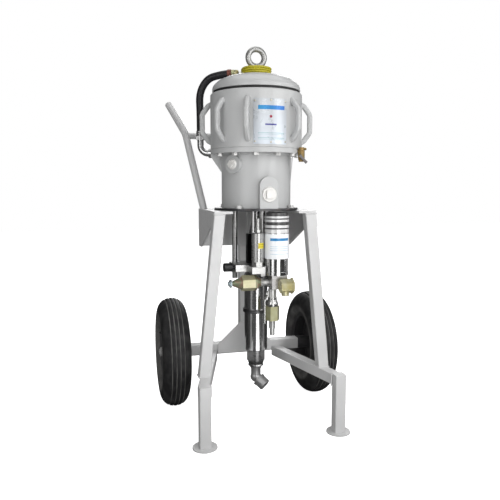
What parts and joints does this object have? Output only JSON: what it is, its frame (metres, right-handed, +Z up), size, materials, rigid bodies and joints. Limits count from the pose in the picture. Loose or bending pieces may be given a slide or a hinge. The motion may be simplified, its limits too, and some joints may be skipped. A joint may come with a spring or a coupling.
{
  "type": "airless paint sprayer",
  "caption": "Air-driven airless paint sprayer: an air motor over an upright piston pump with filter and outlets, on a tubular cart with wheels, feet and push handle.",
  "frame": {"origin": "on the floor, under the centre of the cart's footprint", "axes": "+X to the right as the maker's plate is read, +Y to the back, towards the push handle, +Z up"},
  "size_m": [0.645, 0.633, 1.2657],
  "materials": {
    "frame_paint": "satin light silver-grey paint",
    "motor_paint": "satin light grey paint on cast metal",
    "tyre_rubber": "matt, slightly dusty",
    "rim_paint": "satin black paint",
    "bush_nylon": "natural nylon",
    "bright_steel": "turned",
    "zinc_steel": "bright zinc",
    "dark_steel": "dark, oiled",
    "chrome_plate": "polished",
    "polished_steel": "polished",
    "black_gasket": "matt",
    "plate_foil": "printed foil, lettering left out",
    "nylon_seal": "machined seal plastic",
    "yellow_zinc": "yellow-passivated zinc",
    "khaki_zinc": "dull yellow-passivated zinc",
    "brass": "turned",
    "black_knob": "moulded",
    "filter_steel": "polished, with a white label band",
    "filter_mesh": "woven wire",
    "hose_rubber": "smooth",
    "earth_cable": "soft sleeve",
    "clamp_steel": "pressed"
  },
  "bodies": {
    "cart": {"base_rails": "frame_paint", "foot_posts": "frame_paint", "legs": "frame_paint", "axle_beam": "frame_paint", "rear_post": "frame_paint", "post_gusset": "frame_paint", "rear_cross_plate": "frame_paint", "side_brackets": "frame_paint", "push_handle": "frame_paint", "axle_shaft": "bright_steel", "axle_nuts": "zinc_steel", "motor_base": "motor_paint", "motor_cylinder": "motor_paint", "motor_cap": "motor_paint", "cap_gasket": "black_gasket", "base_plate": "dark_steel", "flange_bolts": "zinc_steel", "bow_handles": "motor_paint", "nameplate": "plate_foil", "eyebolt": "zinc_steel", "port_plugs": "zinc_steel", "tie_rods": "bright_steel", "pump_head": "dark_steel", "pump_cylinder": "polished_steel", "joint_ring": "dark_steel", "foot_valve": "bright_steel", "suction_elbow": "chrome_plate", "rod_guard": "chrome_plate", "relief_valve": "dark_steel", "filter_bowl": "filter_steel", "filter_cap": "chrome_plate", "filter_element": "filter_mesh", "filter_manifold": "dark_steel", "outlet_union": "yellow_zinc", "outlet_elbow": "yellow_zinc", "drain_valve": "khaki_zinc", "air_elbow": "chrome_plate", "air_hose": "hose_rubber", "hose_fittings": "brass", "air_valve_body": "brass", "earth_cable": "earth_cable", "earth_clamp": "clamp_steel", "earth_lug": "zinc_steel"},
    "wheel_left": {"tyre_left": "tyre_rubber", "rim_left": "rim_paint", "wheel_bush_left": "bush_nylon"},
    "wheel_right": {"tyre_right": "tyre_rubber", "rim_right": "rim_paint", "wheel_bush_right": "bush_nylon"},
    "piston_group": {"air_piston": "bright_steel", "piston_seals": "nylon_seal", "piston_rods": "polished_steel", "rod_coupling": "bright_steel", "pump_piston": "polished_steel"},
    "delivery_ball": {"piston_ball": "polished_steel"},
    "intake_ball": {"foot_ball": "polished_steel"},
    "changeover_spool": {"distributor_spool": "bright_steel"},
    "bypass_screw": {"bypass_knob": "black_knob"},
    "drain_arm": {"drain_lever": "bright_steel"},
    "air_cock_arm": {"air_valve_lever": "dark_steel"}
  },
  "joints": [
    {"name": "wheel_left_spin", "type": "hinge", "parent": "cart", "child": "wheel_left", "pos_m": [-0.2725, 0.1205, 0.197], "axis": [1, 0, 0], "continuous": true},
    {"name": "wheel_right_spin", "type": "hinge", "parent": "cart", "child": "wheel_right", "pos_m": [0.2725, 0.1205, 0.197], "axis": [1, 0, 0], "continuous": true},
    {"name": "piston_stroke", "type": "slide", "parent": "cart", "child": "piston_group", "axis": [0, 0, 1], "range_m": [0, 0.11]},
    {"name": "delivery_ball_lift", "type": "slide", "parent": "piston_group", "child": "delivery_ball", "axis": [0, 0, 1], "range_m": [0, 0.012]},
    {"name": "intake_ball_lift", "type": "slide", "parent": "cart", "child": "intake_ball", "axis": [0, 0, 1], "range_m": [0, 0.012]},
    {"name": "spool_shift", "type": "slide", "parent": "cart", "child": "changeover_spool", "axis": [0, -1, 0], "range_m": [0, 0.012]},
    {"name": "bypass_turn", "type": "hinge", "parent": "cart", "child": "bypass_screw", "pos_m": [-0.105, -0.0995, 0.535], "axis": [-1, 0, 0], "range_deg": [0, 270]},
    {"name": "drain_lever_turn", "type": "hinge", "parent": "cart", "child": "drain_arm", "pos_m": [0.008, -0.1725, 0.454], "axis": [-1, 0, 0], "range_deg": [0, 90]},
    {"name": "air_cock_turn", "type": "hinge", "parent": "cart", "child": "air_cock_arm", "pos_m": [0.12262, -0.16991, 0.892], "axis": [0, -1, 0], "range_deg": [0, 90]}
  ]
}
